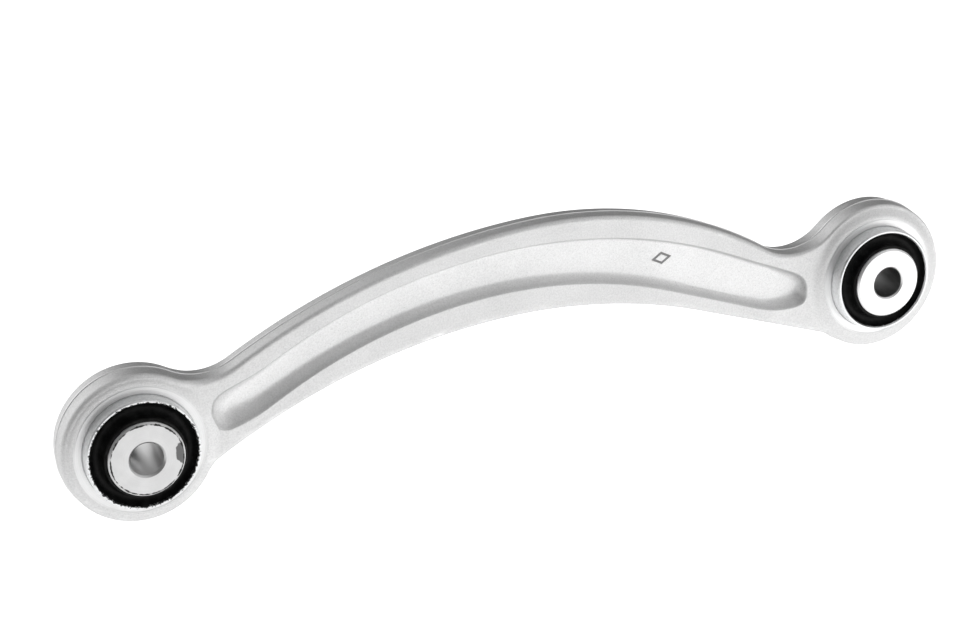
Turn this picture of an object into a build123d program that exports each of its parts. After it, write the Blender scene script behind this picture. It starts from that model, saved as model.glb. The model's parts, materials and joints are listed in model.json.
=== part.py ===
"""Arched forged suspension link with a bonded rubber bush pressed into each eye.

The inboard bush's centre is the origin, +X runs to the outboard bush, both bush axes
lie along Y with the front towards -Y, and +Z is up, the way the link arches.
Lengths are millimetres. Outlines are drawn on the parting plane, y = 0, as (x, z).
"""

from build123d import *
import os
from math import cos, hypot, radians, sin, sqrt, tan

# Arm, along its length
bush_spacing = 305.0        # between the two bush axes
inboard_eye_wall = 8.2      # round each outer sleeve, at the parting plane
outboard_eye_wall = 9.5

# Arch: the upper and lower edges, each two curves that meet level at a crown
upper_crown_x = 160.0
upper_crown_z = 52.2
lower_crown_x = 146.0
lower_crown_z = 16.5
lower_straight_x = 76.0     # from the outboard axis back to where the lower edge turns straight
lower_straight_z = -0.1

# Where the edges run into the eyes: depth inside the eye's rim, and degrees round its axis
inboard_upper_root = (4.0, 33.0)
inboard_lower_root = (3.3, -44.5)
outboard_upper_root = (4.0, 172.5)
outboard_lower_root = (2.6, 246.0)
upper_valley_radius = 23.0
inboard_lower_valley_radius = 9.0
outboard_lower_valley_radius = 20.0

# Section of the arm, from the parting plane outwards
flange_half = 6.2
eye_half = 8.0
web_half = 1.9
draft_angle = 4.0           # degrees, outer walls
flash_half = 0.45           # half height of the trimmed land at the parting plane
flash_proud = 0.35
flange_edge_fillet = 1.6
boss_width = 3.0            # machined ring round each bush
boss_root_fillet = 1.3
boss_edge_fillet = 0.4

# Pocket in each face: flange widths, measured up or down from the outline's edges
upper_flange = 7.9          # at the pocket's upper crown
upper_flange_inboard = 8.7
upper_flange_outboard = 8.8
lower_flange = 11.1         # at the pocket's lower crown
lower_flange_inboard = 6.6
lower_flange_rise = 7.2
lower_flange_outboard = 5.2
pocket_upper_crown_x = 150.0
pocket_lower_crown_x = 143.0
inboard_turn = 17.0         # from each eye's rim to where the pocket's edges turn
outboard_upper_turn = 27.0
outboard_lower_turn = 17.0
outboard_rise_turn = 60.0
inboard_end_wall = 6.0      # between an outer sleeve and the pocket's end
outboard_end_wall = 9.0
inboard_end_z = (-1.3, 12.6)
outboard_end_z = (-6.8, 6.6)
pocket_draft_angle = 20.0   # degrees
pocket_floor_fillet = 1.8
pocket_rim_fillet = 0.8
pocket_end_fillet = 6.0
pocket_turn_fillet = 14.0

# Forged-in mark: a plain lozenge ring sunk into the front web
mark_from_outboard = 93.0
mark_z = 26.0
mark_height = 8.5
mark_width = 5.0
mark_line = 0.9
mark_depth = 0.35

# Bushes, from the bolt outwards
inner_sleeve_bore = 12.2    # diameter, for a 12 mm bolt
inner_sleeve_radius = 14.0
rubber_wall = 5.5
outer_sleeve_wall = 1.5
outer_sleeve_length = 27.0
outer_sleeve_chamfer = 0.5
inboard_inner_length = 35.0
outboard_inner_length = 33.0
inner_sleeve_chamfer = 0.7
rubber_set_back = 1.2       # rubber's rim, inside the outer sleeve's end
rubber_groove = 2.0         # depth of the round groove in each end of the rubber
rubber_lip_wall = 1.0       # rubber that climbs the inner sleeve beyond the groove
rubber_lip_set_back = 1.4   # that lip's rim, inside the inner sleeve's end

# Fits, on the radius
press_interference = 0.03   # outer sleeve in its eye
running_clearance = 0.04    # round the inner sleeve, where the rubber turns on it

outer_sleeve_bore = inner_sleeve_radius + rubber_wall
outer_sleeve_radius = outer_sleeve_bore + outer_sleeve_wall
eye_bore_radius = outer_sleeve_radius - press_interference
boss_radius = outer_sleeve_radius + boss_width
inboard_eye_radius = outer_sleeve_radius + inboard_eye_wall
outboard_eye_radius = outer_sleeve_radius + outboard_eye_wall
inboard_axis = (0.0, 0.0)
outboard_axis = (bush_spacing, 0.0)
bush_axes = [inboard_axis, outboard_axis]
boss_rise = eye_half - flange_half
pocket_depth = flange_half - web_half
behind_parting = flash_proud / tan(radians(draft_angle))    # where drafted walls meet the outline


def on_circle(centre, radius):
    """A vertex filter: true on the circle of that radius round a bush axis."""
    return lambda vertex: abs(hypot(vertex.X - centre[0], vertex.Y - centre[1]) - radius) < 0.01


def near(point, reach=1.0):
    """A vertex filter: true within reach of a point of the sketch."""
    return lambda vertex: hypot(vertex.X - point[0], vertex.Y - point[1]) < reach


def root_point(centre, eye_radius, root):
    """Where an edge ends inside an eye, from its depth inside the rim and its angle."""
    depth, angle = root
    reach = eye_radius - depth
    return (centre[0] + reach * cos(radians(angle)), centre[1] + reach * sin(radians(angle)))


def edge_height(crown, end, x):
    """Height at x of the arc that starts level at its crown and passes through its end."""
    run, drop = end[0] - crown[0], crown[1] - end[1]
    radius = (run ** 2 + drop ** 2) / (2 * drop)
    return crown[1] - radius + sqrt(radius ** 2 - (x - crown[0]) ** 2)


# Outline: an arched beam joined to two round eyes, the valleys between them rounded
upper_crown = (upper_crown_x, upper_crown_z)
lower_crown = (lower_crown_x, lower_crown_z)
inboard_upper = root_point(inboard_axis, inboard_eye_radius, inboard_upper_root)
inboard_lower = root_point(inboard_axis, inboard_eye_radius, inboard_lower_root)
outboard_upper = root_point(outboard_axis, outboard_eye_radius, outboard_upper_root)
outboard_lower = root_point(outboard_axis, outboard_eye_radius, outboard_lower_root)
straight_start = (bush_spacing - lower_straight_x, lower_straight_z)

with BuildSketch(Plane.XZ) as outline:
    with BuildLine():
        TangentArc(upper_crown, inboard_upper, tangent=(-1, 0))
        Line(inboard_upper, inboard_lower)
        TangentArc(lower_crown, inboard_lower, tangent=(-1, 0))
        TangentArc(lower_crown, straight_start, tangent=(1, 0))
        Line(straight_start, outboard_lower)
        Line(outboard_lower, outboard_upper)
        TangentArc(upper_crown, outboard_upper, tangent=(1, 0))
    make_face()
    eye_sizes = [inboard_eye_radius, outboard_eye_radius]
    for axis, eye_radius in zip(bush_axes, eye_sizes):
        with Locations(axis):
            Circle(eye_radius)
    lower_valleys = [inboard_lower_valley_radius, outboard_lower_valley_radius]
    for axis, eye_radius, lower_valley in zip(bush_axes, eye_sizes, lower_valleys):
        meeting = outline.vertices().filter_by(on_circle(axis, eye_radius)).sort_by(Axis.Y)
        fillet(meeting[-1], upper_valley_radius)
        meeting = outline.vertices().filter_by(on_circle(axis, eye_radius)).sort_by(Axis.Y)
        fillet(meeting[0], lower_valley)

# Pocket outline: two crowned edges that narrow into a rounded end beside each eye
inboard_x = inboard_eye_radius + inboard_turn
upper_x = bush_spacing - outboard_eye_radius - outboard_upper_turn
lower_x = bush_spacing - outboard_eye_radius - outboard_lower_turn
rise_x = bush_spacing - outboard_eye_radius - outboard_rise_turn
inboard_end_x = outer_sleeve_radius + inboard_end_wall
outboard_end_x = bush_spacing - outer_sleeve_radius - outboard_end_wall
straight_slope = (outboard_lower[1] - lower_straight_z) / (outboard_lower[0] - straight_start[0])
straight_z = lower_straight_z + straight_slope * (lower_x - straight_start[0])

pocket_upper_crown = (
    pocket_upper_crown_x,
    edge_height(upper_crown, inboard_upper, pocket_upper_crown_x) - upper_flange,
)
pocket_lower_crown = (
    pocket_lower_crown_x,
    edge_height(lower_crown, inboard_lower, pocket_lower_crown_x) + lower_flange,
)
inboard_turns = [
    (inboard_x, edge_height(lower_crown, inboard_lower, inboard_x) + lower_flange_inboard),
    (inboard_x, edge_height(upper_crown, inboard_upper, inboard_x) - upper_flange_inboard),
]
outboard_turns = [
    (rise_x, edge_height(lower_crown, straight_start, rise_x) + lower_flange_rise),
    (lower_x, straight_z + lower_flange_outboard),
    (upper_x, edge_height(upper_crown, outboard_upper, upper_x) - upper_flange_outboard),
]
inboard_ends = [(inboard_end_x, z) for z in inboard_end_z]
outboard_ends = [(outboard_end_x, z) for z in outboard_end_z]

with BuildSketch(Plane.XZ.offset(flange_half)) as pocket_outline:
    with BuildLine():
        TangentArc(pocket_upper_crown, inboard_turns[1], tangent=(-1, 0))
        Polyline(inboard_turns[1], inboard_ends[1], inboard_ends[0], inboard_turns[0])
        TangentArc(pocket_lower_crown, inboard_turns[0], tangent=(-1, 0))
        TangentArc(pocket_lower_crown, outboard_turns[0], tangent=(1, 0))
        Polyline(outboard_turns[0], outboard_turns[1], outboard_ends[0], outboard_ends[1],
                 outboard_turns[2])
        TangentArc(pocket_upper_crown, outboard_turns[2], tangent=(1, 0))
    make_face()
    for corner in inboard_ends + outboard_ends:
        fillet(pocket_outline.vertices().filter_by(near(corner)), pocket_end_fillet)
    for corner in inboard_turns + outboard_turns:
        fillet(pocket_outline.vertices().filter_by(near(corner)), pocket_turn_fillet)


# Forged arm: the front half with its bosses and pocket, mirrored, then bored and marked
with BuildPart() as forged_arm:
    extrude(to_extrude=outline.sketch, amount=flange_half)
    outer_walls = forged_arm.faces().filter_by(Axis.Y, reverse=True)
    draft(outer_walls, Plane.XZ.offset(-behind_parting), draft_angle)
    fillet(forged_arm.edges().group_by(Axis.Y)[0], flange_edge_fillet)
    extrude(to_extrude=pocket_outline.sketch, amount=-pocket_depth, mode=Mode.SUBTRACT)
    pocket_walls = forged_arm.faces(Select.LAST).filter_by(Axis.Y, reverse=True)
    draft(pocket_walls, Plane.XZ.offset(flange_half), pocket_draft_angle)
    pocket_floor = forged_arm.faces().filter_by(Axis.Y).sort_by(Axis.Y)[-2]
    fillet(pocket_floor.edges(), pocket_floor_fillet)
    flange_face = forged_arm.faces().filter_by(Axis.Y).sort_by(Axis.Y)[0]
    fillet(flange_face.inner_wires()[0].edges(), pocket_rim_fillet)

    with BuildSketch(Plane.XZ.offset(flange_half)):
        with Locations(*bush_axes):
            Circle(boss_radius)
    extrude(amount=boss_rise)
    boss_edges = forged_arm.edges().filter_by(GeomType.CIRCLE)
    boss_edges = boss_edges.filter_by(lambda edge: abs(edge.radius - boss_radius) < 0.01)
    fillet(boss_edges.group_by(Axis.Y)[0], boss_edge_fillet)
    fillet(boss_edges.group_by(Axis.Y)[-1], boss_root_fillet)
    mirror(about=Plane.XZ)

    extrude(to_extrude=outline.sketch, amount=flash_half, both=True)

    with BuildSketch(Plane.XZ.offset(eye_half)):
        with Locations(*bush_axes):
            Circle(eye_bore_radius)
    extrude(amount=-2 * eye_half, mode=Mode.SUBTRACT)

    with BuildSketch(Plane.XZ.offset(web_half)):
        with Locations((bush_spacing - mark_from_outboard, mark_z)):
            lozenge = [(0, mark_height / 2), (mark_width / 2, 0)]
            lozenge += [(0, -mark_height / 2), (-mark_width / 2, 0)]
            Polygon(*lozenge)
            offset(amount=-mark_line, mode=Mode.SUBTRACT)
    extrude(amount=-mark_depth, mode=Mode.SUBTRACT)
forged_arm.part.label = "forged_arm"
pieces = [forged_arm]

# Bushes: in each eye an outer sleeve, the rubber bonded in it, and the bolted inner sleeve
bushes = [
    ("inboard", bush_axes[0][0], inboard_inner_length),
    ("outboard", bush_axes[1][0], outboard_inner_length),
]
rubber_inner = inner_sleeve_radius + running_clearance
lip_radius = rubber_inner + rubber_lip_wall
groove_middle = (lip_radius + outer_sleeve_bore) / 2
rubber_half = outer_sleeve_length / 2 - rubber_set_back
groove_half = rubber_half - rubber_groove

for name, bush_x, inner_length in bushes:
    with BuildPart() as outer_sleeve:
        with BuildSketch(Plane.XZ.offset(outer_sleeve_length / 2)):
            with Locations((bush_x, 0)):
                Circle(outer_sleeve_radius)
                Circle(outer_sleeve_bore, mode=Mode.SUBTRACT)
        extrude(amount=-outer_sleeve_length)
        ends = outer_sleeve.faces().filter_by(Axis.Y)
        chamfer(ends.edges(), outer_sleeve_chamfer)
    outer_sleeve.part.label = name + "_outer_sleeve"

    lip_half = inner_length / 2 - rubber_lip_set_back
    with BuildPart() as rubber:
        with BuildSketch(Plane.XY.shift_origin((bush_x, 0, 0))):
            with BuildLine():
                Polyline((lip_radius, -rubber_half), (lip_radius, -lip_half),
                         (rubber_inner, -lip_half), (rubber_inner, lip_half),
                         (lip_radius, lip_half), (lip_radius, rubber_half))
                ThreePointArc((lip_radius, rubber_half), (groove_middle, groove_half),
                              (outer_sleeve_bore, rubber_half))
                Line((outer_sleeve_bore, rubber_half), (outer_sleeve_bore, -rubber_half))
                ThreePointArc((outer_sleeve_bore, -rubber_half), (groove_middle, -groove_half),
                              (lip_radius, -rubber_half))
            make_face()
        revolve(axis=Axis((bush_x, 0, 0), (0, 1, 0)))
    rubber.part.label = name + "_rubber"

    with BuildPart() as inner_sleeve:
        with BuildSketch(Plane.XZ.offset(inner_length / 2)):
            with Locations((bush_x, 0)):
                Circle(inner_sleeve_radius)
                Circle(inner_sleeve_bore / 2, mode=Mode.SUBTRACT)
        extrude(amount=-inner_length)
        ends = inner_sleeve.faces().filter_by(Axis.Y)
        chamfer(ends.edges(), inner_sleeve_chamfer)
    inner_sleeve.part.label = name + "_inner_sleeve"

    pieces += [outer_sleeve, rubber, inner_sleeve]

os.makedirs("parts", exist_ok=True)
for piece in pieces:
    export_step(piece.part, "parts/" + piece.part.label + ".step")
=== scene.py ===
"""Arched forged suspension link with a bonded rubber bush in each eye, finished for rendering.

Every shape is worked out in the link's own frame in millimetres: x runs from the inboard bush
to the outboard one, y along the bush axes with the front towards -y, and z is up. The link is
drawn in its plane as (x, z) curves, and its thickness is measured out from y = 0 both ways.
"""

import json

import bmesh
import bpy
import numpy as np
from mathutils import Matrix, Vector


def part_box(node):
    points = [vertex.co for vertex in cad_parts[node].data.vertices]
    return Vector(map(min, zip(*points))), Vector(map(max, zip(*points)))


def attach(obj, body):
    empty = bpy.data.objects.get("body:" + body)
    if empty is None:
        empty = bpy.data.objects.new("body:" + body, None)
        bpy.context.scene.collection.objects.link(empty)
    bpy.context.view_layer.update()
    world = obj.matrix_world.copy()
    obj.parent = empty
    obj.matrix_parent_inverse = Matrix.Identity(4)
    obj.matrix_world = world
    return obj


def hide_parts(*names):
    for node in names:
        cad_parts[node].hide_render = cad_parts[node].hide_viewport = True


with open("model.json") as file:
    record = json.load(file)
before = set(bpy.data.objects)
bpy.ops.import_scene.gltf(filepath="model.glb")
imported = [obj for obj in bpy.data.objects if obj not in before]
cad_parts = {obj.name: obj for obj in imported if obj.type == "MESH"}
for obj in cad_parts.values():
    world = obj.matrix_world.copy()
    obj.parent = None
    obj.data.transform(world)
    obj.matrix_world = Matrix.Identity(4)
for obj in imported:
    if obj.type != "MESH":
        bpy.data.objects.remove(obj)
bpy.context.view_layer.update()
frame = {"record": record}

MM = 0.001
TAU = 2 * np.pi


# ---------------------------------------------------------------- sizes read from the frame

def box_mm(node):
    """Lowest and highest corner of a node, in millimetres."""
    low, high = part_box(node)
    return np.array(low) / MM, np.array(high) / MM


arm_low, arm_high = box_mm("forged_arm")
sleeve_low, sleeve_high = box_mm("inboard_outer_sleeve")
far_low, far_high = box_mm("outboard_outer_sleeve")
near_inner_low, near_inner_high = box_mm("inboard_inner_sleeve")
_, far_inner_high = box_mm("outboard_inner_sleeve")
bore_radius = next(m["dims"]["r_mm"] for m in frame["record"]["mounts"] if m["kind"] == "bore")

SPACING = (far_low[0] + far_high[0]) / 2
OUTER_R = (sleeve_high[0] - sleeve_low[0]) / 2
OUTER_HALF = sleeve_high[1]
INNER_R = (near_inner_high[0] - near_inner_low[0]) / 2
EYE_HALF = arm_high[1]
EYE_RADII = (-arm_low[0], arm_high[0] - SPACING)
CROWN = (160.0, arm_high[2])
AXES = (np.array([0.0, 0.0]), np.array([SPACING, 0.0]))

OUTER_WALL = 1.5
RUBBER_R = OUTER_R - OUTER_WALL
FLANGE_HALF = 6.2
WEB_HALF = 1.9
INBOARD_END = SPACING * MM / 2      # metres: the inboard half of the link ends here


# ---------------------------------------------------------------- curves in the link's plane

def level_arc(crown, end):
    """Centre and radius of the circle that is level at its crown and passes through its end."""
    run, drop = end[0] - crown[0], crown[1] - end[1]
    radius = (run ** 2 + drop ** 2) / (2 * drop)
    return np.array([crown[0], crown[1] - radius]), radius


def circles_meet(c1, r1, c2, r2, side):
    """Where two circles cross: along the line of centres, then off it to that side."""
    c1, c2 = np.array(c1), np.array(c2)
    gap = np.linalg.norm(c2 - c1)
    along = (c2 - c1) / gap
    reach = (gap ** 2 + r1 ** 2 - r2 ** 2) / (2 * gap)
    off = np.sqrt(r1 ** 2 - reach ** 2)
    return c1 + along * reach + side * off * np.array([-along[1], along[0]])


def toward(centre, radius, point):
    """The point on a circle in the direction of another point."""
    step = np.array(point) - centre
    return centre + radius * step / np.linalg.norm(step)


def sweep_arc(centre, start, end, turn, step=0.1):
    """Points and outward-from-centre directions along an arc, turning +1 left or -1 right."""
    a0 = np.arctan2(*(start - centre)[::-1])
    a1 = np.arctan2(*(end - centre)[::-1])
    span = (turn * (a1 - a0)) % TAU
    radius = np.linalg.norm(start - centre)
    count = max(int(span * radius / step), 4)
    angles = a0 + turn * np.linspace(0, span, count)
    out = np.stack([np.cos(angles), np.sin(angles)], 1)
    return centre + radius * out, out


def sweep_line(start, end, step=0.1):
    """Points along a straight run and its right-hand normals."""
    count = max(int(np.linalg.norm(end - start) / step), 4)
    t = np.linspace(0, 1, count)[:, None]
    along = (end - start) / np.linalg.norm(end - start)
    return start + (end - start) * t, np.tile([along[1], -along[0]], (count, 1))


class Path:
    """A dense open or closed curve that can be read at any distance along it."""

    def __init__(self, points, normals=None):
        self.points = np.asarray(points)
        steps = np.linalg.norm(np.diff(self.points, axis=0), axis=1)
        self.along = np.concatenate([[0], np.cumsum(steps)])
        self.length = self.along[-1]
        self.normals = normals

    def read(self, distance, values=None):
        """Points, or other values, at distances along the path, which wraps round."""
        values = self.points if values is None else values
        distance = np.mod(distance, self.length)
        return np.stack([np.interp(distance, self.along, v) for v in values.T], 1)

    def nearest(self, point):
        """Distance along the path of its point nearest to the given one."""
        gaps = np.linalg.norm(self.points - np.asarray(point), axis=1)
        return self.along[np.argmin(gaps)]


def at_angle(centre, radius, degrees):
    """The point at an angle on a circle."""
    angle = np.radians(degrees)
    return centre + radius * np.array([np.cos(angle), np.sin(angle)])


def outline_path():
    """The parting-plane outline, leftwards from the upper crown: arched edges, rounded
    valleys and the round eyes, each an arc or a straight run tangent to the next."""
    near, far = AXES
    near_r, far_r = EYE_RADII
    upper_crown, lower_crown = np.array(CROWN), np.array([146.0, 16.5])
    bend = np.array([SPACING - 76.0, -0.1])
    upper_depth, lower_depth, straight_depth = 4.0, 3.3, 2.6     # how far inside an eye's rim
    upper_near_root = at_angle(near, near_r - upper_depth, 33.0)
    upper_far_root = at_angle(far, far_r - upper_depth, 172.5)
    lower_near_root = at_angle(near, near_r - lower_depth, -44.5)
    straight_end = at_angle(far, far_r - straight_depth, 246.0)
    valley, small, wide = 23.0, 9.0, 20.0

    upper_near, upper_near_r = level_arc(CROWN, upper_near_root)
    upper_far, upper_far_r = level_arc(CROWN, upper_far_root)
    lower_near, lower_near_r = level_arc(lower_crown, lower_near_root)
    lower_far, _ = level_arc(lower_crown, bend)

    top_near = circles_meet(near, near_r + valley, upper_near, upper_near_r + valley, 1)
    low_near = circles_meet(near, near_r + small, lower_near, lower_near_r - small, 1)
    along = (straight_end - bend) / np.linalg.norm(straight_end - bend)
    down = np.array([along[1], -along[0]])
    foot = bend + down * wide
    to_far = far - foot
    abreast = along @ to_far
    half_chord = (far_r + wide) ** 2 - (to_far @ to_far - abreast ** 2)
    low_far = foot + along * (abreast - np.sqrt(max(half_chord, 0)))
    top_far = circles_meet(far, far_r + valley, upper_far, upper_far_r + valley, -1)

    top_near_touch, low_near_touch = toward(near, near_r, top_near), toward(near, near_r, low_near)
    low_far_touch, top_far_touch = toward(far, far_r, low_far), toward(far, far_r, top_far)
    upper_left = toward(upper_near, upper_near_r, top_near)
    upper_right = toward(upper_far, upper_far_r, top_far)
    lower_left = toward(lower_near, lower_near_r, low_near)
    lower_right = low_far - down * wide
    runs = [
        (sweep_arc(upper_near, upper_crown, upper_left, 1), 1),
        (sweep_arc(top_near, upper_left, top_near_touch, -1), -1),
        (sweep_arc(near, top_near_touch, low_near_touch, 1), 1),
        (sweep_arc(low_near, low_near_touch, lower_left, -1), -1),
        (sweep_arc(lower_near, lower_left, lower_crown, -1), -1),
        (sweep_arc(lower_far, lower_crown, bend, -1), -1),
        (sweep_line(bend, lower_right), 1),
        (sweep_arc(low_far, lower_right, low_far_touch, -1), -1),
        (sweep_arc(far, low_far_touch, top_far_touch, 1), 1),
        (sweep_arc(top_far, top_far_touch, upper_right, -1), -1),
        (sweep_arc(upper_far, upper_right, upper_crown, 1), 1),
    ]
    points = np.concatenate([run[0][:-1] for run, _ in runs] + [runs[0][0][0][:1]])
    normals = np.concatenate([side * run[1][:-1] for run, side in runs] + [runs[0][0][1][:1]])
    valleys = [(top_near, top_near_touch), (low_near, low_near_touch),
               (low_far, low_far_touch), (top_far, top_far_touch)]
    return Path(points, normals), valleys


def crowned_edge(crown, end, turn):
    """Points of the arc from a level crown to its end."""
    return sweep_arc(level_arc(crown, end)[0], crown, end, turn)[0]


def pocket_path():
    """The pocket's rim, leftwards from its upper crown: two crowned edges joined by blunt
    ends, then every corner rounded by a Gaussian average along the curve."""
    upper, lower = np.array([150.0, 44.1]), np.array([143.0, 27.2])
    near_end, far_end = 26.8, SPACING - 30.8
    upper_near, upper_far = np.array([46.0, 18.4]), np.array([SPACING - 57.0, 18.9])
    lower_near, rise = np.array([46.0, 1.8]), np.array([SPACING - 90.0, 12.4])
    lower_far = np.array([SPACING - 47.0, -5.6])
    corners = [np.array(c) for c in ((near_end, 12.9), (near_end, 1.4), (30.7, -2.9),
                                     (far_end, -6.3), (far_end, 6.7))]
    runs = [
        crowned_edge(upper, upper_near, 1),
        sweep_line(upper_near, corners[0])[0],
        sweep_line(corners[0], corners[1])[0],
        sweep_line(corners[1], corners[2])[0],
        sweep_line(corners[2], lower_near)[0],
        crowned_edge(lower, lower_near, 1)[::-1],
        crowned_edge(lower, rise, -1),
        sweep_line(rise, lower_far)[0],
        sweep_line(lower_far, corners[3])[0],
        sweep_line(corners[3], corners[4])[0],
        sweep_line(corners[4], upper_far)[0],
        crowned_edge(upper, upper_far, -1)[::-1],
    ]
    rough = Path(np.concatenate([run[:-1] for run in runs] + [runs[0][:1]]))
    count, rounding = 4096, 4.6
    even = rough.read(np.arange(count) * rough.length / count)
    waves = np.fft.fftfreq(count, rough.length / count)
    blur = np.exp(-2 * (np.pi * waves * rounding) ** 2)[:, None]
    smooth = np.fft.ifft(np.fft.fft(even, axis=0) * blur, axis=0).real
    return Path(np.concatenate([smooth, smooth[:1]]))


# ---------------------------------------------------------------- meshes

def smoothstep(low, high, value):
    """0 below low, 1 above high and a cubic between, either way round."""
    t = np.clip((value - low) / (high - low), 0, 1)
    return t * t * (3 - 2 * t)


def grid_quads(rows, columns, start=0, wrap=False):
    """Quads over a grid of points stored row by row; wrap joins the last column to the first."""
    last = columns if wrap else columns - 1
    r, c = np.meshgrid(np.arange(rows - 1), np.arange(last), indexing="ij")
    nxt = (c + 1) % columns
    quads = np.stack([r * columns + c, r * columns + nxt,
                      (r + 1) * columns + nxt, (r + 1) * columns + c], -1)
    return quads.reshape(-1, 4) + start


def make_piece(name, points, quads, marks=None, kinds=None, sharp=35.0):
    """A welded, smooth-shaded mesh from points in millimetres. marks is a colour for each
    point, read by the materials as "finish" (on the arm: wear, the trimmed land, painted crease
    shade and painted light on the web); kinds is a material index for each quad."""
    mesh = bpy.data.meshes.new(name)
    mesh.vertices.add(len(points))
    mesh.vertices.foreach_set("co", (points * MM).astype(np.float32).ravel())
    mesh.loops.add(quads.size)
    mesh.loops.foreach_set("vertex_index", quads.astype(np.int32).ravel())
    mesh.polygons.add(len(quads))
    mesh.polygons.foreach_set("loop_start", np.arange(0, quads.size, 4, dtype=np.int32))
    if kinds is not None:
        mesh.polygons.foreach_set("material_index", kinds.astype(np.int32))
    if marks is not None:
        layer = mesh.attributes.new("finish", "FLOAT_COLOR", "POINT")
        layer.data.foreach_set("color", marks.astype(np.float32).ravel())
    mesh.update(calc_edges=True)
    work = bmesh.new()
    work.from_mesh(mesh)
    bmesh.ops.remove_doubles(work, verts=work.verts, dist=2e-6)
    bmesh.ops.recalc_face_normals(work, faces=work.faces)
    work.to_mesh(mesh)
    work.free()
    mesh.shade_smooth()
    mesh.set_sharp_from_angle(angle=np.radians(sharp))
    piece = bpy.data.objects.new(name, mesh)
    bpy.context.scene.collection.objects.link(piece)
    return piece


def ripple(angle, waves, seed, power=1.0):
    """A periodic noise in -1..1: cosines of whole wave numbers, of random phase and size."""
    draw = np.random.default_rng(seed)
    total = np.zeros_like(angle)
    for wave in waves:
        total += draw.normal() * np.cos(wave * angle + draw.uniform(0, TAU)) / wave ** power
    return total / (np.abs(total).max() + 1e-9)


# ---------------------------------------------------------------- the forging

outline, valleys = outline_path()
pocket = pocket_path()

BOSS_R = OUTER_R + 3.3          # where the forged skin meets the machined ring
BOSS_CREST, BOSS_FOOT = BOSS_R + 0.4, BOSS_R + 4.8      # top and bottom of the boss's shoulder
SKIN_DRAFT = np.tan(np.radians(4.0))
FLASH_SET = 0.34                # wall behind the trimmed parting line
FLASH_HALF = 0.27               # half width of the trimmed land
WALL_START = 0.62               # height at which the drafted wall starts
EDGE_R = 1.75                   # rounded edge along the beam
EDGE_AT_EYES = (0.55, -0.45)    # change of that radius at the inboard and the outboard eye
SCOOP_START = 27.0              # x at which the pocket's scooped end starts
POCKET_BEAM = (30.0, SPACING - 33.0)    # x between which the pocket's rim is an edge, not an end


def face_half(plan):
    """Half thickness of the flange and eyes at points of the plane: thicker towards the
    eyes, then a soft shoulder up to each boss."""
    reach = np.minimum(*[np.linalg.norm(plan - axis, axis=-1) for axis in AXES])
    eye_end, fade = 30.0, 22.0
    flange = FLANGE_HALF - 0.15 + 0.45 * np.exp(-np.clip(reach - eye_end, 0, None) / fade)
    rise = smoothstep(BOSS_FOOT, BOSS_CREST, reach)
    return flange + (EYE_HALF - flange) * rise


def cove_width(plan):
    """Width of the pocket's wall in plan: narrow along the beam and a little wider on its
    lower side. A scoop that dies away within some 14 mm, and a lower sweep that dies away
    within some 60 mm, widen the inboard end, and a smooth step widens the outboard end."""
    x = plan[..., 0]
    low_side = 0.5 + 0.5 * np.tanh((pocket_mid(x) - plan[..., 1]) / 9)
    past = np.clip(x - SCOOP_START, 0, None)
    scoop = 5.5 * np.exp(-past / 14)
    sweep = 3.2 * np.exp(-past / 60) * low_side
    far = 1.8 * smoothstep(SPACING - 50, SPACING - 36, x)
    return 1.9 + 0.5 * low_side + scoop + sweep + far


def pocket_mid(x):
    """Height of the pocket's middle line at x."""
    stations = np.linspace(28, SPACING - 32, 80)
    upper_z, lower_z = pocket_edges(stations)
    return np.interp(x, stations, (upper_z + lower_z) / 2)


def pocket_edges(stations):
    """Heights of the pocket's upper and lower rims at the given x stations."""
    left, right = np.argmin(pocket.points[:, 0]), np.argmax(pocket.points[:, 0])
    upper = np.concatenate([pocket.points[right:], pocket.points[:left]])[::-1]
    lower = pocket.points[left:right]
    return (np.interp(stations, upper[:, 0], upper[:, 1]),
            np.interp(stations, lower[:, 0], lower[:, 1]))


def rim_distance(plan):
    """Distance in the plane from points to the pocket's rim, taken as 512 short chords. The
    two edges and two ends are measured apart and joined by an inverse fourth-power mean, so
    that no ridge forms half-way between them."""
    start = pocket.points[:-1:8]
    chord = np.roll(start, -1, 0) - start
    square = (chord ** 2).sum(1)
    near_end, far_end = start[:, 0] < POCKET_BEAM[0], start[:, 0] > POCKET_BEAM[1]
    above = start[:, 1] > pocket_mid(start[:, 0])
    beam = ~(near_end | far_end)
    sides = (near_end, far_end, beam & above, beam & ~above)

    def joined(part):
        gap = part[:, None] - start[None]
        share = np.clip((gap * chord).sum(-1) / square, 0, 1)
        reach = np.linalg.norm(gap - chord * share[..., None], axis=-1) + 1e-6
        return sum(reach[:, side].min(1) ** -4 for side in sides) ** -0.25

    parts = np.array_split(plan.reshape(-1, 2), 24)
    return np.concatenate([joined(part) for part in parts]).reshape(plan.shape[:-1])


def pocket_drop(plan):
    """Depth of the pocket's surface below the flange: a parabolic cove down from the rim,
    softened where it starts, then the flat web."""
    width = cove_width(plan)
    low_side = smoothstep(3, -3, plan[..., 1] - pocket_mid(plan[..., 0]))
    past_scoop = smoothstep(30, 40, plan[..., 0])
    soft = (0.28 + 0.9 * low_side * past_scoop) / width
    t = rim_distance(plan) / width
    t = np.clip(np.sqrt(t ** 2 + soft ** 2) - soft, 0, 1)
    return (2 * t - t ** 2) * (face_half(plan) - WEB_HALF)


def columns_between(path, start, end, count):
    """Distances along a closed path from start on to end, evenly spaced."""
    return start + np.linspace(0, 1, count) * np.mod(end - start, path.length)


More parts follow.
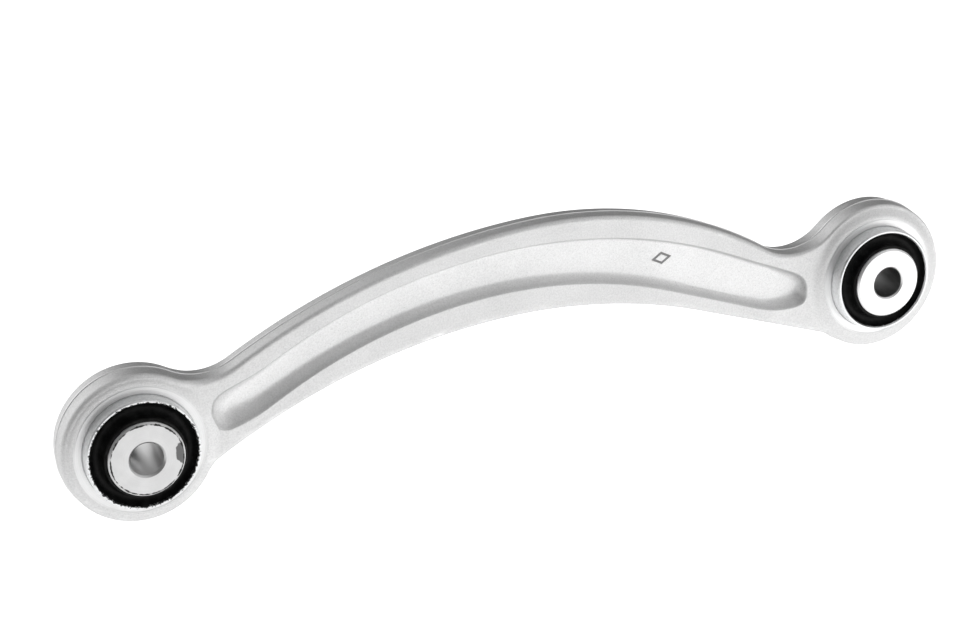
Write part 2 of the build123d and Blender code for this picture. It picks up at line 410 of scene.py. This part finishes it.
def wall_rows(plan, out, along):
    """Rows of points from the parting line up the drafted wall and over the rounded edge.
    Each row is the outline moved in by a distance, at a height."""
    from_eye = np.minimum(*[np.linalg.norm(plan - axis, axis=-1) for axis in AXES])
    change = np.where(plan[:, 0] < SPACING / 2, *EDGE_AT_EYES)
    edge = EDGE_R + change * smoothstep(48, 33, from_eye)
    draft_allowance = 0.3
    inset_top = FLASH_SET + draft_allowance + edge
    half = face_half(plan - out * inset_top[:, None])
    wander = ripple(TAU * along / outline.length, range(9, 90, 3), seed=5, power=0.4)
    trim = 0.07 + 0.06 * wander
    wall = FLASH_SET + 0.05
    rows = [(trim, 0.0, 1), (trim, FLASH_HALF, 1), (trim + 0.09, 0.36, 1), (FLASH_SET, 0.44, 0.6),
            (wall, WALL_START, 0.1)]
    shoulder = half - edge
    for share in (0.3, 0.65, 1.0):
        height = WALL_START + (shoulder - WALL_START) * share
        rows.append((wall + (height - WALL_START) * SKIN_DRAFT, height, 0))
    foot = rows[-1][0]
    for angle in np.radians([15, 30, 45, 60, 75, 90]):
        rows.append((foot + edge * (1 - np.cos(angle)), shoulder + edge * np.sin(angle), 0))
    inset = np.stack([row[0] + 0 * half for row in rows])
    height = np.stack([row[1] + 0 * half for row in rows])
    flash = np.stack([row[2] + 0 * half for row in rows])
    spots = plan[None] - out[None] * inset[..., None]
    return spots, height, flash


def forging():
    """The forged arm: one half built as strips that follow the outline, then its mirror.
    The face is ruled from the rounded edge to an inner loop, which runs round the inboard
    bore, along the pocket's lower rim, round the outboard bore and back along its upper
    rim; inside that loop lie the pocket's cove and web, and each eye's machined ring."""
    left = pocket.points[np.argmin(pocket.points[:, 0])]
    right = pocket.points[np.argmax(pocket.points[:, 0])]
    near, far = AXES
    near_ring, far_ring = toward(near, BOSS_R, left), toward(far, BOSS_R, right)
    s_left, s_right = pocket.nearest(left), pocket.nearest(right)
    upper_left, lower_left, lower_right, upper_right = [
        outline.nearest(toward(centre, np.linalg.norm(touch - centre), ring))
        for (centre, touch), ring in zip(valleys, (near_ring, near_ring, far_ring, far_ring))]

    def ring_points(axis, ring, start, end, count):
        """Points round a bore that face the outline's points, except that both ends are
        drawn round to the one point that the pocket's end faces."""
        run = np.linspace(0, np.mod(end - start, outline.length), count)
        spots = outline.read(start + run) - axis
        facing = np.unwrap(np.arctan2(spots[:, 1], spots[:, 0]))
        first = np.arctan2(*(ring - axis)[::-1])
        first += TAU * np.round((facing[0] - first) / TAU)
        angles = facing + (first - facing[0]) * np.exp(-run / 10)
        angles += (first + TAU - facing[-1]) * np.exp(-(run[-1] - run) / 10)
        return axis + BOSS_R * np.stack([np.cos(angles), np.sin(angles)], 1)

    span, turn, hop, reach = 300, 180, 6, 4.0
    upper_rim = pocket.read(columns_between(pocket, s_right, s_left, span))
    lower_rim = pocket.read(columns_between(pocket, s_left, s_right, span))
    near_run = (upper_left + reach, lower_left - reach, turn)
    far_run = (lower_right + reach, upper_right - reach, turn)
    near_loop = ring_points(near, near_ring, *near_run)
    far_loop = ring_points(far, far_ring, *far_run)
    sections = [
        (upper_right + reach, upper_left - reach, span, upper_rim),
        (upper_left - reach, upper_left + reach, hop, np.linspace(left, near_ring, hop)),
        (*near_run, near_loop),
        (lower_left - reach, lower_left + reach, hop, np.linspace(near_ring, left, hop)),
        (lower_left + reach, lower_right - reach, span, lower_rim),
        (lower_right - reach, lower_right + reach, hop, np.linspace(right, far_ring, hop)),
        (*far_run, far_loop),
        (upper_right - reach, upper_right + reach, hop, np.linspace(far_ring, right, hop)),
    ]
    along = np.concatenate([columns_between(outline, a, b, n)[:-1] for a, b, n, _ in sections])
    inner = np.concatenate([loop[:-1] for *_, loop in sections])
    plan = outline.read(along)
    out = outline.read(along, outline.normals)
    out /= np.linalg.norm(out, axis=1)[:, None]

    points, quads, marks, kinds = [], [], [], []
    total = 0

    def add_grid(spots, height, mark, kind, wrap):
        """Takes in a grid of plane points with their heights, finish marks and material."""
        nonlocal total
        rows, columns = height.shape
        points.append(np.stack([spots[..., 0], -height, spots[..., 1]], -1).reshape(-1, 3))
        quads.append(grid_quads(rows, columns, total, wrap))
        marks.append(np.stack([np.broadcast_to(m, height.shape) for m in mark], -1).reshape(-1, 4))
        kinds.append(np.full(len(quads[-1]), kind))
        total += rows * columns

    spots, height, flash = wall_rows(plan, out, along)
    row = np.arange(len(height))[:, None]
    most_worn = 12
    worn = np.exp(-((row - most_worn) / 1.8) ** 2) + 0 * height
    add_grid(spots, height, (worn, flash, 0, 0), 0, True)

    shares = np.array([0, 0.05, 0.12, 0.2, 0.3, 0.42, 0.55, 0.68, 0.8, 0.9, 0.96, 1.0])
    face = spots[-1] + (inner - spots[-1]) * shares[:, None, None]
    least = BOSS_R + 1.2 * (1 - shares[:, None])
    for axis in AXES:           # a ruled line that would cut across a boss is bent round it
        radius = np.linalg.norm(face - axis, axis=-1)
        face = axis + (face - axis) * (np.maximum(radius, least) / radius)[..., None]
    top = face_half(face)
    top[0] = height[-1]
    rim_wear = np.exp(-((shares - 0.98) / 0.05) ** 2)[:, None] * 0.4
    edge_wear = np.exp(-(shares / 0.1) ** 2)[:, None]
    add_grid(face, top, (rim_wear + edge_wear, 0, 0, 0), 0, True)

    upper = upper_rim[::-1]
    middle = (upper + lower_rim) / 2
    deep = np.array([0, .02, .045, .08, .125, .18, .24, .31, .39, .48, .58, .69, .8, .9, 1.0])
    for rim, shade in ((upper, 1.0), (lower_rim, 0.45)):
        bed = rim + (middle - rim) * deep[:, None, None]
        gap = rim_distance(bed)
        # painted shade: each rim's crease is darkened in colour, fully on the upper rim and less on
        # the lower
        painted_crease_shade = shade * np.exp(-((gap - 0.9) / 0.6) ** 2)
        drop = pocket_drop(bed)
        # painted light: the deep web gets a mark that lightens its colour
        web = np.clip(drop / (FLANGE_HALF - WEB_HALF), 0, 1) ** 4
        add_grid(bed, face_half(bed) - drop, (0.3 * (gap < 0.1), 0, painted_crease_shade, web), 0, False)

    bore, faced = OUTER_R - 0.05, EYE_HALF - 0.13
    ring_rows = [(BOSS_R, EYE_HALF), (BOSS_R - 0.25, EYE_HALF - 0.03),
                 (BOSS_R - 0.45, EYE_HALF - 0.11), (BOSS_R - 0.65, faced), (BOSS_R - 1.2, faced),
                 (bore + 0.9, faced), (bore + 0.45, EYE_HALF - 0.16), (bore, EYE_HALF - 0.6),
                 (bore, 0.0)]
    for axis, loop in ((near, near_loop), (far, far_loop)):
        rays = (loop - axis) / BOSS_R
        radius = np.array([r for r, _ in ring_rows])[:, None, None]
        level = np.array([h for _, h in ring_rows])[:, None] + 0 * rays[None, :, 0]
        add_grid(axis + rays[None] * radius, level, (0, 0, 0, 0), 1, False)

    front = np.concatenate(points)
    faces = np.concatenate(quads)
    back = front * [1, -1, 1]
    both = np.concatenate([faces, faces + len(front)])
    return make_piece("forged_arm_skin", np.concatenate([front, back]), both,
                      np.tile(np.concatenate(marks), (2, 1)), np.tile(np.concatenate(kinds), 2))


# ---------------------------------------------------------------- the bushes

def rounded(corners, steps=4):
    """A closed (r, y) profile with each corner, (r, y, radius), replaced by an arc."""
    spots = np.array([c[:2] for c in corners], float)
    radii = [c[2] for c in corners]
    profile = []
    for before, corner, after, radius in zip(np.roll(spots, 1, 0), spots,
                                             np.roll(spots, -1, 0), radii):
        a, b = before - corner, after - corner
        a, b = a / np.linalg.norm(a), b / np.linalg.norm(b)
        if radius == 0:
            profile.append(corner)
            continue
        half = np.arccos(np.clip(a @ b, -1, 1)) / 2
        cut = radius / np.tan(half)
        centre = corner + (a + b) / np.linalg.norm(a + b) * radius / np.sin(half)
        t = np.linspace(0, 1, steps + 1)[:, None]
        arc = (corner + a * cut) * (1 - t) + (corner + b * cut) * t - centre
        profile.extend(centre + arc * radius / np.linalg.norm(arc, axis=1)[:, None])
    return np.array(profile)


def lathe(name, profile, axis, segments=192, shift=None, sharp=35.0):
    """A closed (r, y) profile turned about a bush axis. shift, if given, takes radius,
    height and angle grids and returns the moved radius and height."""
    angle = np.arange(segments) * TAU / segments
    radius = np.repeat(profile[:, :1], segments, 1)
    level = np.repeat(profile[:, 1:], segments, 1)
    around = np.broadcast_to(angle, radius.shape)
    if shift is not None:
        radius, level = shift(radius, level, around)
    points = np.stack([axis[0] + radius * np.cos(around), level,
                       axis[1] + radius * np.sin(around)], -1)
    closed = np.concatenate([points, points[:1]])
    return make_piece(name, closed.reshape(-1, 3),
                      grid_quads(len(closed), segments, 0, True), sharp=sharp)


def mirrored(half):
    """A profile from its upper half, corners listed from the inside radius outwards."""
    return half + [(r, -y, radius) for r, y, radius in half[::-1]]


def outer_sleeve(name, axis):
    """Steel tube with both edges of each end broken."""
    end = OUTER_HALF
    half = [(RUBBER_R, end - 0.55, 0.08), (RUBBER_R + 0.42, end - 0.02, 0.12),
            (OUTER_R - 0.5, end, 0.15), (OUTER_R, end - 0.6, 0.12)]
    return lathe(name, rounded(mirrored(half)), axis)


def inner_sleeve(name, axis, half_length):
    """Thick steel sleeve with a chamfered bore and a broken outer edge."""
    half = [(bore_radius, half_length - 0.75, 0.1), (bore_radius + 0.75, half_length, 0.08),
            (INNER_R - 0.65, half_length, 0.15), (INNER_R, half_length - 0.7, 0.2)]
    return lathe(name, rounded(mirrored(half)), axis)


def rubber_ring(name, axis, lip_half, ragged, seed):
    """Moulded ring, bonded to both sleeves, with a round groove in each end. It climbs the
    inner sleeve as a thin lip. Both rims are moved by a periodic noise, strongly where the
    flash is ragged."""
    rim = OUTER_HALF - 0.75
    floor = OUTER_HALF - 3.1
    t = np.linspace(0, 1, 15)
    lip, corner = INNER_R + 0.95, 0.5
    turn = np.linspace(0, np.pi / 2, 4)
    shoulder = np.stack([lip - corner + corner * np.sin(turn),
                         lip_half - corner + corner * np.cos(turn)], 1)
    groove = np.stack([lip + (RUBBER_R + 0.02 - lip) * t,
                       floor + (rim - floor) * np.abs(2 * t - 1) ** 2.4], 1)
    top = np.concatenate([[[INNER_R + 0.02, lip_half]], shoulder,
                          [[lip, (lip_half + rim) / 2]], groove])
    profile = np.concatenate([top, (top * [1, -1])[::-1]])

    def shift(radius, level, angle):
        outer = smoothstep(RUBBER_R - 1.4, RUBBER_R - 0.1, radius)
        inner = smoothstep(lip_half - 1.2, lip_half - 0.4, np.abs(level))
        torn = np.clip(ripple(angle, range(5, 60, 2), seed, 0.5), -0.6, 1)
        soft = ripple(angle, range(3, 40, 2), seed + 1, 0.4)
        return radius, level + np.sign(level) * (outer * ragged * 0.6 * torn
                                                 + inner * ragged * 0.5 * soft)

    return lathe(name, profile, axis, shift=shift, sharp=60.0)


LIP_SET_BACK = 1.5              # the rubber's lip stops this far short of the sleeve's face
FLASH_SEED = 11

arm_skin = forging()
bushes = {}
for place, axis, inner_half, ragged in (("inboard", AXES[0], near_inner_high[1], 1.0),
                                        ("outboard", AXES[1], far_inner_high[1], 0.25)):
    bushes[place] = (
        outer_sleeve(place + "_sleeve_tube", axis),
        rubber_ring(place + "_rubber_ring", axis, inner_half - LIP_SET_BACK, ragged, FLASH_SEED),
        inner_sleeve(place + "_bolt_sleeve", axis, inner_half),
    )


# ---------------------------------------------------------------- finishes

def maths(tree, operation, a, b=None, clamp=False):
    """A Math node fed by sockets or numbers; returns its output."""
    made = tree.nodes.new("ShaderNodeMath")
    made.operation = operation
    made.use_clamp = clamp
    for socket, value in zip(made.inputs, (a, b)):
        feed(tree, value, socket)
    return made.outputs[0]


def feed(tree, value, socket):
    """Links a socket, or sets a constant, on an input."""
    if isinstance(value, bpy.types.NodeSocket):
        tree.links.new(value, socket)
    elif value is not None:
        socket.default_value = value


def blend(tree, share, a, b):
    """Mixes two values by a share; returns the result."""
    made = tree.nodes.new("ShaderNodeMix")
    for socket, value in zip((made.inputs[0], made.inputs[2], made.inputs[3]), (share, a, b)):
        feed(tree, value, socket)
    return made.outputs[0]


def spread(tree, value, low, high, to_low=0.0, to_high=1.0):
    """Maps a value from one range to another, held at both ends."""
    made = tree.nodes.new("ShaderNodeMapRange")
    for socket, item in zip(made.inputs[:5], (value, low, high, to_low, to_high)):
        feed(tree, item, socket)
    return made.outputs[0]


def noise(tree, vector, scale, detail=3.0, roughness=0.55):
    """Noise of a given scale per metre; returns its value."""
    made = tree.nodes.new("ShaderNodeTexNoise")
    for name, value in (("Vector", vector), ("Scale", scale), ("Detail", detail),
                        ("Roughness", roughness)):
        feed(tree, value, made.inputs[name])
    return made.outputs["Fac"]


def bush_group():
    """Node group: distance in metres from the nearer bush axis, 1 on the inboard half of the
    link, and fine concentric tool marks, which are a noise read along that distance."""
    group = bpy.data.node_groups.new("About the bush axes", "ShaderNodeTree")
    for name, way, kind in (("Position", "INPUT", "NodeSocketVector"),
                            ("Rings per metre", "INPUT", "NodeSocketFloat"),
                            ("Distance", "OUTPUT", "NodeSocketFloat"),
                            ("Inboard", "OUTPUT", "NodeSocketFloat"),
                            ("Tool marks", "OUTPUT", "NodeSocketFloat")):
        group.interface.new_socket(name, in_out=way, socket_type=kind)
    start = group.nodes.new("NodeGroupInput")
    parts = group.nodes.new("ShaderNodeSeparateXYZ")
    group.links.new(start.outputs[0], parts.inputs[0])
    outboard = maths(group, "GREATER_THAN", parts.outputs[0], INBOARD_END)
    x = maths(group, "SUBTRACT", parts.outputs[0],
              maths(group, "MULTIPLY", outboard, SPACING * MM))
    squares = maths(group, "ADD", maths(group, "MULTIPLY", x, x),
                    maths(group, "MULTIPLY", parts.outputs[2], parts.outputs[2]))
    distance = maths(group, "SQRT", squares)
    along = group.nodes.new("ShaderNodeCombineXYZ")
    group.links.new(distance, along.inputs[0])
    end = group.nodes.new("NodeGroupOutput")
    for socket, value in zip(end.inputs, (
            distance, maths(group, "LESS_THAN", parts.outputs[0], INBOARD_END),
            noise(group, along.outputs[0], start.outputs[1], 2.0))):
        group.links.new(value, socket)
    return group


about_axes = bush_group()


def read_bush(tree, position, pitch=0.00026):
    """The bush group in a material: its distance, inboard mask and tool marks at a pitch."""
    reader = tree.nodes.new("ShaderNodeGroup")
    reader.node_tree = about_axes
    tree.links.new(position, reader.inputs[0])
    reader.inputs[1].default_value = 1 / pitch
    return reader.outputs[0], reader.outputs[1], reader.outputs[2]


def new_finish(name):
    """A material with object coordinates, ready for its Principled BSDF's inputs."""
    material = bpy.data.materials.new(name)
    material.use_nodes = True
    tree = material.node_tree
    position = tree.nodes.new("ShaderNodeTexCoord").outputs["Object"]
    return material, tree, position, tree.nodes["Principled BSDF"]


def grey(tree, value, tint=(1.0, 1.0, 1.0)):
    """A value made into a colour, with a slight tint."""
    made = tree.nodes.new("ShaderNodeCombineColor")
    for socket, share in zip(made.inputs, tint):
        feed(tree, maths(tree, "MULTIPLY", value, share), socket)
    return made.outputs[0]


def relief(tree, height, distance, strength=1.0, onto=None):
    """A bump from a height, in metres at full height."""
    made = tree.nodes.new("ShaderNodeBump")
    made.inputs["Strength"].default_value = strength
    made.inputs["Distance"].default_value = distance
    tree.links.new(height, made.inputs["Height"])
    if onto is not None:
        tree.links.new(onto, made.inputs["Normal"])
    return made.outputs[0]


def sunk_lozenge(tree, position):
    """1 on the line of a plain lozenge ring sunk in the front web, 0 elsewhere."""
    parts = tree.nodes.new("ShaderNodeSeparateXYZ")
    tree.links.new(position, parts.inputs[0])
    centre_x, centre_z, half_width, half_height = 0.212, 0.026, 0.00425, 0.0025
    across = maths(tree, "ABSOLUTE", maths(tree, "SUBTRACT", parts.outputs[0], centre_x))
    up = maths(tree, "ABSOLUTE", maths(tree, "SUBTRACT", parts.outputs[2], centre_z))
    size = maths(tree, "ADD", maths(tree, "DIVIDE", across, half_width),
                 maths(tree, "DIVIDE", up, half_height))
    line = spread(tree, maths(tree, "ABSOLUTE", maths(tree, "SUBTRACT", size, 0.82)), 0.24, 0.14)
    return maths(tree, "MULTIPLY", line, maths(tree, "LESS_THAN", parts.outputs[1], 0.0))


def forging_skin():
    """Shot-blasted aluminium: fine grain, faint mottle, bright where edges have rubbed and
    along the trimmed parting line, with painted shade in the pocket's rim creases and
    painted light on its deep web."""
    material, tree, position, shader = new_finish("Blasted aluminium forging")
    marks = tree.nodes.new("ShaderNodeAttribute")
    marks.attribute_name = "finish"
    parts = tree.nodes.new("ShaderNodeSeparateColor")
    tree.links.new(marks.outputs["Color"], parts.inputs[0])
    # red is wear, green the trimmed land, blue painted crease shade; alpha, read below, is painted
    # light on the web
    worn, flash, painted_crease_shade = parts.outputs[0], parts.outputs[1], parts.outputs[2]

    stretched = tree.nodes.new("ShaderNodeMapping")
    stretched.inputs["Scale"].default_value = (0.35, 1.0, 1.0)
    tree.links.new(position, stretched.inputs["Vector"])
    scuffs = spread(tree, noise(tree, stretched.outputs[0], 420, 4, 0.65), 0.47, 0.66)
    rubbed = spread(tree, noise(tree, position, 26, 2), 0.48, 0.6)
    bright = maths(tree, "MULTIPLY", maths(tree, "MULTIPLY", worn, scuffs), rubbed, clamp=True)
    cloud = spread(tree, noise(tree, position, 38, 5, 0.6), 0.3, 0.7, -0.03, 0.03)
    speck = spread(tree, noise(tree, position, 1500, 3, 0.7), 0.3, 0.7, -0.075, 0.075)
    pits = spread(tree, noise(tree, position, 2300, 2, 0.6), 0.62, 0.76, 0.0, 0.2)
    skin = maths(tree, "SUBTRACT", maths(tree, "ADD", maths(tree, "ADD", cloud, speck), 0.80), pits)
    shine = maths(tree, "MAXIMUM", bright, flash)
    value = blend(tree, shine, skin, 0.93)
    mark = sunk_lozenge(tree, position)
    value = maths(tree, "MULTIPLY", value, spread(tree, mark, 0.0, 1.0, 1.0, 0.3))
    # painted shade: the pocket's rim creases are darkened in colour, down to 0.75
    value = maths(tree, "MULTIPLY", value, spread(tree, painted_crease_shade, 0.0, 1.0, 1.0, 0.75))
    # painted light: the pocket's deep web is lightened by up to 17 %
    value = maths(tree, "MULTIPLY", value, spread(tree, marks.outputs["Alpha"], 0, 1, 1.0, 1.17))
    tree.links.new(grey(tree, value), shader.inputs["Base Color"])
    tree.links.new(blend(tree, shine, 0.52, 0.34), shader.inputs["Roughness"])
    shader.inputs["Metallic"].default_value = 0.86
    grain = maths(tree, "ADD", noise(tree, position, 2100, 3, 0.7),
                  maths(tree, "MULTIPLY", noise(tree, position, 600, 2), 0.8))
    sunk = relief(tree, maths(tree, "SUBTRACT", 1.0, mark), 0.00035)
    tree.links.new(relief(tree, grain, 0.00015, 0.8, sunk), shader.inputs["Normal"])
    return material


def machined_face():
    """The faced rings round the bushes: bright, with faint concentric tool marks."""
    material, tree, position, shader = new_finish("Machined aluminium")
    _, _, rings = read_bush(tree, position, 0.00022)
    cloud = noise(tree, position, 90, 3)
    value = maths(tree, "ADD", spread(tree, rings, 0.35, 0.65, 0.80, 0.9),
                  spread(tree, cloud, 0.3, 0.7, -0.04, 0.03))
    tree.links.new(grey(tree, value), shader.inputs["Base Color"])
    shader.inputs["Metallic"].default_value = 0.92
    shader.inputs["Roughness"].default_value = 0.36
    tree.links.new(relief(tree, rings, 0.00003, 0.5), shader.inputs["Normal"])
    return material


def zinc_sleeve():
    """Bright zinc-plated tube with a slightly textured skin. Rubber flash smears the inboard
    one's inner edge."""
    material, tree, position, shader = new_finish("Zinc-plated steel tube")
    blotch = noise(tree, position, 900, 4, 0.65)
    cloud = noise(tree, position, 110, 3)
    value = maths(tree, "ADD", spread(tree, blotch, 0.3, 0.7, 0.78, 1.0),
                  spread(tree, cloud, 0.3, 0.7, -0.05, 0.05))
    distance, near, _ = read_bush(tree, position)
    edge = spread(tree, distance, 0.0210, 0.0196, -0.16, 0.17)
    smear = spread(tree, maths(tree, "ADD", noise(tree, position, 750, 3, 0.7), edge), 0.56, 0.6)
    smear = maths(tree, "MULTIPLY", smear, near)
    tree.links.new(grey(tree, blend(tree, smear, value, 0.012), (0.985, 0.995, 1.0)),
                   shader.inputs["Base Color"])
    tree.links.new(blend(tree, smear, 0.95, 0.0), shader.inputs["Metallic"])
    tree.links.new(spread(tree, blotch, 0.3, 0.7, 0.28, 0.44), shader.inputs["Roughness"])
    tree.links.new(relief(tree, blotch, 0.00008, 0.6), shader.inputs["Normal"])
    return material


def turned_sleeve():
    """Turned steel: concentric marks on the ends and a darker bore. The inboard one has a
    broken ring of rubber near its edge and a dull patch of residue."""
    material, tree, position, shader = new_finish("Turned steel sleeve")
    distance, near, rings = read_bush(tree, position)
    cloud = noise(tree, position, 160, 4)
    plate = blend(tree, near, 0.97, 0.7)
    value = maths(tree, "ADD", maths(tree, "MULTIPLY", spread(tree, rings, 0.35, 0.65, 0.95, 1.03),
                                     plate), spread(tree, cloud, 0.3, 0.7, -0.05, 0.03))
    bore = maths(tree, "LESS_THAN", distance, (bore_radius + 0.2) * MM)
    value = blend(tree, bore, value, blend(tree, near, 0.28, 0.62))

    ring_r, patch_r = 0.0132, 0.0134
    off_ring = maths(tree, "ABSOLUTE", maths(tree, "SUBTRACT", distance, ring_r))
    broken = maths(tree, "ADD", noise(tree, position, 380, 4, 0.7),
                   spread(tree, off_ring, 0.0001, 0.0007, 0.07, -0.35))
    ring = spread(tree, broken, 0.5, 0.54)
    from_patch = tree.nodes.new("ShaderNodeMapping")    # an upright oval beside the ring
    from_patch.inputs["Location"].default_value = (-7.4, 0, 0.1)
    from_patch.inputs["Scale"].default_value = (620, 0, 250)
    tree.links.new(position, from_patch.inputs["Vector"])
    size = tree.nodes.new("ShaderNodeVectorMath")
    size.operation = "LENGTH"
    tree.links.new(from_patch.outputs[0], size.inputs[0])
    ragged = maths(tree, "ADD", size.outputs["Value"], noise(tree, position, 500, 4, 0.7))
    patch = maths(tree, "MULTIPLY", spread(tree, ragged, 1.5, 1.44),
                  maths(tree, "LESS_THAN", distance, patch_r))
    patch, ring = (maths(tree, "MULTIPLY", mask, near) for mask in (patch, ring))
    value = blend(tree, ring, blend(tree, patch, value, 0.16), 0.015)
    soiled = maths(tree, "MAXIMUM", ring, patch)
    tree.links.new(grey(tree, value), shader.inputs["Base Color"])
    tree.links.new(blend(tree, soiled, 0.92, 0.1), shader.inputs["Metallic"])
    tree.links.new(blend(tree, soiled, 0.34, 0.6), shader.inputs["Roughness"])
    tree.links.new(relief(tree, rings, 0.00003, 0.5), shader.inputs["Normal"])
    return material


def moulded_rubber():
    """Matt black rubber with a dusty bloom and fine pimpling."""
    material, tree, position, shader = new_finish("Moulded rubber")
    dust = spread(tree, noise(tree, position, 260, 5, 0.65), 0.42, 0.72, 0.002, 0.012)
    tree.links.new(grey(tree, dust), shader.inputs["Base Color"])
    shader.inputs["Roughness"].default_value = 0.55
    shader.inputs["Specular IOR Level"].default_value = 0.18
    tree.links.new(relief(tree, noise(tree, position, 1300, 3), 0.00016, 0.6),
                   shader.inputs["Normal"])
    return material


skin, faced = forging_skin(), machined_face()
arm_skin.data.materials.append(skin)
arm_skin.data.materials.append(faced)
finishes = (zinc_sleeve(), moulded_rubber(), turned_sleeve())
for place, pieces in bushes.items():
    for piece, finish, end, body, slot in zip(
            pieces, finishes, ("outer_sleeve", "rubber", "inner_sleeve"),
            ("arm", "arm", place + "_bolt_sleeve"),
            ("outer_sleeve", "bush_rubber", "inner_sleeve")):
        piece.data.materials.append(finish)
        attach(piece, body)
        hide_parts(place + "_" + end)
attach(arm_skin, "arm")
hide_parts("forged_arm")


# ---------------------------------------------------------------- the studio

FRONT_LEFT, FRONT_RIGHT = 0.17, 0.7
BACK_LEFT, BACK_RIGHT = 1.15, 0.03


def studio_floor(height, size):
    """A plain white floor, far enough below to take no hard shadow."""
    half = size / 2
    mesh = bpy.data.meshes.new("studio_floor")
    mesh.from_pydata([(-half, -half, height), (half, -half, height), (half, half, height),
                      (-half, half, height)], [], [(0, 1, 2, 3)])
    floor = bpy.data.objects.new("studio_floor", mesh)
    bpy.context.scene.collection.objects.link(floor)
    paper = bpy.data.materials.new("White paper")
    paper.use_nodes = True
    shader = paper.node_tree.nodes["Principled BSDF"]
    shader.inputs["Base Color"].default_value = (0.85, 0.85, 0.85, 1)
    shader.inputs["Roughness"].default_value = 0.9
    shader.inputs["Emission Color"].default_value = (1, 1, 1, 1)
    seen = paper.node_tree.nodes.new("ShaderNodeLightPath").outputs["Is Camera Ray"]
    feed(paper.node_tree, blend(paper.node_tree, seen, 0.5, 1.0),
         shader.inputs["Emission Strength"])
    mesh.materials.append(paper)


def soft_light(name, place, aim, size, power):
    """A square soft light at a place, turned to a point. Metal doesn't mirror it."""
    lamp = bpy.data.lights.new(name, "AREA")
    lamp.shape = "SQUARE"
    lamp.size = size
    lamp.energy = power
    holder = bpy.data.objects.new(name, lamp)
    holder.location = place
    holder.rotation_euler = (Vector(aim) - Vector(place)).to_track_quat("-Z", "Y").to_euler()
    holder.visible_glossy = False
    bpy.context.scene.collection.objects.link(holder)


def room_light():
    """World light: brighter from the front right than the front left, and darkest behind to
    the right. It is plain white where it is seen directly."""
    world = bpy.data.worlds.new("White room")
    bpy.context.scene.world = world
    world.use_nodes = True
    tree = world.node_tree
    parts = tree.nodes.new("ShaderNodeSeparateXYZ")
    tree.links.new(tree.nodes.new("ShaderNodeTexCoord").outputs["Generated"], parts.inputs[0])
    front = blend(tree, spread(tree, parts.outputs[0], -0.4, 0.6), FRONT_LEFT, FRONT_RIGHT)
    behind = blend(tree, spread(tree, parts.outputs[0], -0.25, 0.2), BACK_LEFT, BACK_RIGHT)
    room = blend(tree, spread(tree, parts.outputs[1], -0.15, 0.5), front, behind)
    seen = tree.nodes.new("ShaderNodeLightPath").outputs["Is Camera Ray"]
    tree.links.new(grey(tree, blend(tree, seen, room, 1.0)),
                   tree.nodes["Background"].inputs["Color"])


studio_floor(height=-0.35, size=12.0)
room_light()
soft_light("key", place=(1.2, -0.9, 0.4), aim=(0.35, -0.85, -0.35), size=0.8, power=10)

lens = bpy.data.cameras.new("camera")
lens.lens = 79.9
lens.sensor_width = 36.0
lens.clip_start = 0.01
camera = bpy.data.objects.new("camera", lens)
right, up = (0.92001, -0.38411, -0.07771), (0.20888, 0.31285, 0.92655)
backward, stand = (-0.33159, -0.86867, 0.36806), (-0.13062, -0.69807, 0.31256)
camera.matrix_world = Matrix(((*right, 0), (*up, 0), (*backward, 0), (*stand, 1))).transposed()
bpy.context.scene.collection.objects.link(camera)
bpy.context.scene.camera = camera
bpy.context.scene.view_settings.view_transform = "Standard"
